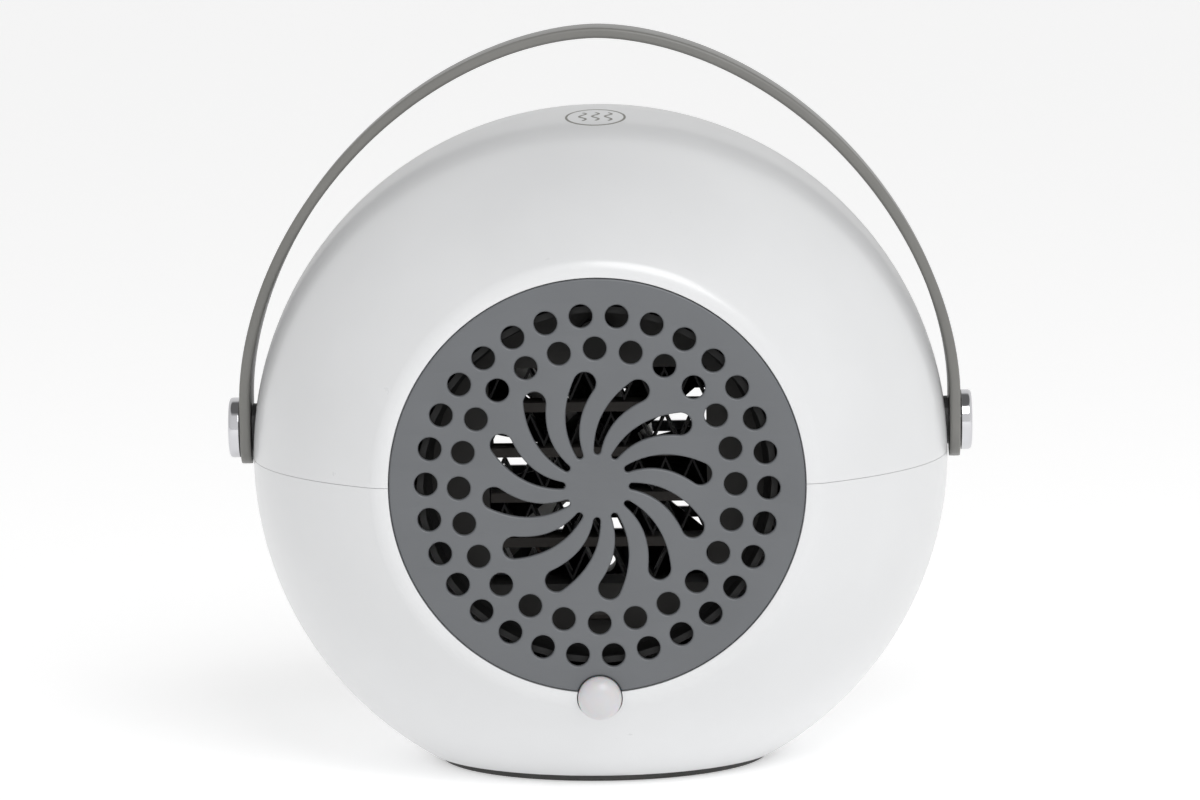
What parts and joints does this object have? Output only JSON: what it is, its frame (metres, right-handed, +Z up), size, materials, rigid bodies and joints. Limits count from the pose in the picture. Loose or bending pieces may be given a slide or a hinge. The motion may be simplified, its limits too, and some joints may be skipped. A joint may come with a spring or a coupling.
{
  "type": "ceramic space heater",
  "caption": "Ball-shaped ceramic fan heater with a round swirl-slotted outlet grille, a strap handle on side pivots, rear controls and a flat base.",
  "frame": {"origin": "on the table, under the middle of the heater's outline with the handle upright", "axes": "+X to the right as seen facing the outlet, +Y to the back cover, +Z up; the outlet faces -Y"},
  "size_m": [0.2466, 0.1998, 0.2426],
  "materials": {
    "white_plastic": "fine satin white",
    "grey_plastic": "satin blue-grey",
    "strap_plastic": "satin warm grey",
    "chrome": "polished",
    "milky_plastic": "translucent milky",
    "rubber": "matt dark grey",
    "dark_plastic": "satin black",
    "heat_plastic": "matt black, heat resistant",
    "ceramic": "unglazed",
    "aluminium": "mill finish",
    "steel": "zinc plated",
    "circuit_board": "green solder mask",
    "brown_insulation": "insulated copper",
    "blue_insulation": "insulated copper"
  },
  "bodies": {
    "housing": {"base_pad": "rubber", "ceramic_bar_1": "ceramic", "ceramic_bar_2": "ceramic", "ceramic_bar_3": "ceramic", "ceramic_bar_4": "ceramic", "cord_gland": "dark_plastic", "cover_screw_1": "steel", "cover_screw_2": "steel", "cover_screw_3": "steel", "cover_screw_4": "steel", "duct_screw_1": "steel", "duct_screw_2": "steel", "duct_screw_3": "steel", "duct_screw_4": "steel", "fan_duct": "dark_plastic", "fin_bank_1": "aluminium", "fin_bank_2": "aluminium", "fin_bank_3": "aluminium", "fin_bank_4": "aluminium", "fin_bank_5": "aluminium", "front_grille": "grey_plastic", "heater_frame": "heat_plastic", "heater_tab_left": "steel", "heater_tab_right": "steel", "indicator_board": "circuit_board", "indicator_led": "milky_plastic", "indicator_lens": "milky_plastic", "lower_shell": "white_plastic", "motor_body": "steel", "motor_mount": "steel", "pivot_cap_left": "chrome", "pivot_cap_right": "chrome", "pivot_nut_left": "steel", "pivot_nut_right": "steel", "pivot_washer_left": "dark_plastic", "pivot_washer_right": "dark_plastic", "rear_grille": "grey_plastic", "selector_body": "dark_plastic", "terminal_block": "white_plastic", "thermal_cutout": "steel", "thermal_fuse": "ceramic", "thermostat_body": "dark_plastic", "tip_spring": "steel", "tip_switch": "dark_plastic", "upper_shell": "white_plastic", "wire_live_heater": "brown_insulation", "wire_live_in": "brown_insulation", "wire_live_motor": "brown_insulation", "wire_neutral_heater": "blue_insulation", "wire_neutral_motor": "blue_insulation", "wire_thermostat": "brown_insulation", "wire_tip_switch": "brown_insulation"},
    "handle": {"handle_strap": "strap_plastic"},
    "fan": {"fan_impeller": "dark_plastic", "motor_shaft": "steel"},
    "selector": {"selector_knob": "white_plastic", "selector_shaft": "steel"},
    "thermostat": {"thermostat_knob": "white_plastic", "thermostat_shaft": "steel"},
    "plunger": {"tip_plunger": "dark_plastic"}
  },
  "joints": [
    {"name": "handle_swing", "type": "hinge", "parent": "housing", "child": "handle", "pos_m": [0, -0.0044, 0.1106], "axis": [1, 0, 0], "range_deg": [-100, 100]},
    {"name": "fan_spin", "type": "hinge", "parent": "housing", "child": "fan", "pos_m": [0, -0.0044, 0.1015], "axis": [0, 1, 0], "continuous": true},
    {"name": "selector_turn", "type": "hinge", "parent": "housing", "child": "selector", "pos_m": [-0.024, -0.0044, 0.1355], "axis": [0, -1, 0], "range_deg": [0, 270]},
    {"name": "thermostat_turn", "type": "hinge", "parent": "housing", "child": "thermostat", "pos_m": [0.024, -0.0044, 0.1355], "axis": [0, -1, 0], "range_deg": [0, 300]},
    {"name": "plunger_drop", "type": "slide", "parent": "housing", "child": "plunger", "axis": [0, 0, -1], "range_m": [0, 0.005], "stiffness_N_per_m": 60, "springref_m": 0.012, "deforming": ["tip_spring"]}
  ]
}
